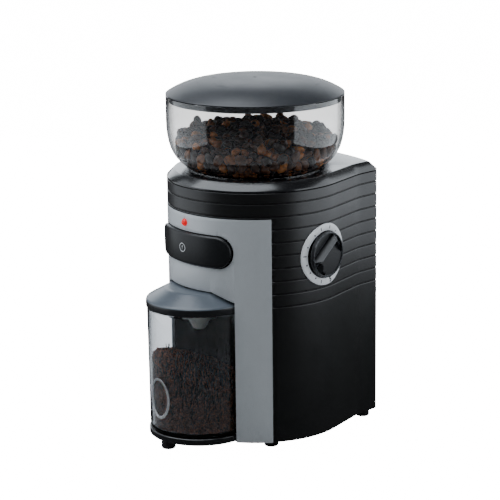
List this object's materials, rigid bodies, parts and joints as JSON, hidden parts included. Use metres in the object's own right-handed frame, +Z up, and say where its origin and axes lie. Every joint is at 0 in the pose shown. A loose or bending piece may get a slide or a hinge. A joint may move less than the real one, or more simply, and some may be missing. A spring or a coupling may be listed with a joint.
{
  "type": "burr coffee grinder",
  "caption": "Burr coffee grinder with a round lidded bean hopper, a front power button and lamp, a side grind dial and a pull-out container for the grounds.",
  "frame": {"origin": "centre of the bounding box, on the plane the feet stand on", "axes": "+Z up, -Y towards the front with the container and the button, +X towards the side with the grind dial"},
  "size_m": [0.1523, 0.1952, 0.289],
  "materials": {
    "body_plastic": "fine-grained charcoal moulding",
    "cover_plastic": "satin black moulding",
    "panel_metal": "satin silver paint",
    "dial_metal": "light silver paint with printed marks",
    "knob_plastic": "satin black",
    "button_plastic": "satin black",
    "lid_plastic": "matte charcoal",
    "container_lid_plastic": "satin black",
    "bowl_clear": "clear moulded plastic",
    "container_clear": "smoky moulded plastic",
    "cream_plastic": "light cream moulding",
    "rubber": "matte black",
    "lamp_red": "red moulded lens",
    "board": "green circuit board",
    "steel": "bright steel",
    "burr_steel": "hardened ground steel",
    "bronze": "sintered bronze",
    "copper": "varnished copper winding",
    "nylon": "natural nylon",
    "carrier_plastic": "black moulding"
  },
  "bodies": {
    "housing": {"housing_shell": "body_plastic", "container_bay": "body_plastic", "base_plate": "body_plastic", "chassis_plate": "body_plastic", "gearbox_cover": "body_plastic", "hopper_collar": "body_plastic", "grind_chamber": "body_plastic", "chute": "body_plastic", "motor_end_cap": "body_plastic", "top_cover": "cover_plastic", "front_panel": "panel_metal", "dial_ring": "dial_metal", "push_switch": "button_plastic", "foot_front": "rubber", "foot_middle_right": "rubber", "foot_middle_left": "rubber", "foot_rear_right": "rubber", "foot_rear_left": "rubber", "cable_gland": "rubber", "lamp_lens": "lamp_red", "circuit_board": "board", "motor_can": "steel", "idler_axle": "steel", "shaft_bracket": "steel", "button_spring": "steel", "base_screw_front_right": "steel", "base_screw_front_left": "steel", "base_screw_rear_right": "steel", "base_screw_rear_left": "steel", "chassis_screw_front_right": "steel", "chassis_screw_front_left": "steel", "chassis_screw_rear_right": "steel", "chassis_screw_rear_left": "steel", "motor_screw_right": "steel", "motor_screw_left": "steel", "motor_bush": "bronze", "burr_shaft_bush": "bronze"},
    "hopper": {"hopper_bowl": "bowl_clear"},
    "hopper_cap": {"hopper_lid": "lid_plastic"},
    "container": {"container_body": "container_clear", "container_lid": "container_lid_plastic", "container_funnel": "cream_plastic"},
    "button": {"power_button": "button_plastic"},
    "knob": {"grind_knob": "knob_plastic", "knob_shaft": "steel", "knob_pinion": "nylon"},
    "ring": {"adjusting_ring": "nylon"},
    "carrier": {"burr_carrier": "carrier_plastic", "outer_burr": "burr_steel"},
    "rotor": {"motor_shaft": "steel", "motor_armature": "copper", "motor_pinion": "steel"},
    "idler": {"idler_gear": "nylon"},
    "spindle": {"burr_shaft": "steel", "output_gear": "nylon", "sweeper": "nylon", "inner_burr": "burr_steel", "burr_nut": "steel"}
  },
  "joints": [
    {"name": "motor_spin", "type": "hinge", "parent": "housing", "child": "rotor", "pos_m": [-0.0047, 0.04765, 0.14], "axis": [0, 0, 1], "continuous": true},
    {"name": "idler_spin", "type": "hinge", "parent": "housing", "child": "idler", "pos_m": [-0.0157, 0.02632, 0.14], "axis": [0, 0, 1], "continuous": true},
    {"name": "burr_spin", "type": "hinge", "parent": "housing", "child": "spindle", "pos_m": [-0.0047, 0.00365, 0.14], "axis": [0, 0, 1], "continuous": true},
    {"name": "knob_turn", "type": "hinge", "parent": "housing", "child": "knob", "pos_m": [0.06571, 0.01607, 0.1558], "axis": [0.9848, 0.1736, 0], "range_deg": [-140, 140]},
    {"name": "ring_turn", "type": "hinge", "parent": "housing", "child": "ring", "pos_m": [-0.0047, 0.00365, 0.168], "axis": [0, 0, 1], "range_deg": [-28, 28]},
    {"name": "carrier_shift", "type": "slide", "parent": "housing", "child": "carrier", "axis": [0, 0, 1], "range_m": [-0.0005, 0.0005]},
    {"name": "button_press", "type": "slide", "parent": "housing", "child": "button", "axis": [0, 1, 0], "range_m": [0, 0.002], "stiffness_N_per_m": 500, "springref_m": -0.001, "deforming": ["button_spring"]},
    {"name": "container_slide", "type": "slide", "parent": "housing", "child": "container", "axis": [0, -1, 0], "range_m": [0, 0.1]},
    {"name": "hopper_lift", "type": "slide", "parent": "housing", "child": "hopper", "axis": [0, 0, 1], "range_m": [0, 0.05]},
    {"name": "lid_lift", "type": "slide", "parent": "hopper", "child": "hopper_cap", "axis": [0, 0, 1], "range_m": [0, 0.06]}
  ],
  "couplings": [
    {"joint": "idler_spin", "follows": "motor_spin", "ratio": -0.33333},
    {"joint": "burr_spin", "follows": "motor_spin", "ratio": 0.13333},
    {"joint": "knob_turn", "follows": "ring_turn", "ratio": -5},
    {"joint": "carrier_shift", "follows": "ring_turn", "m_per_rad": -0.001}
  ]
}
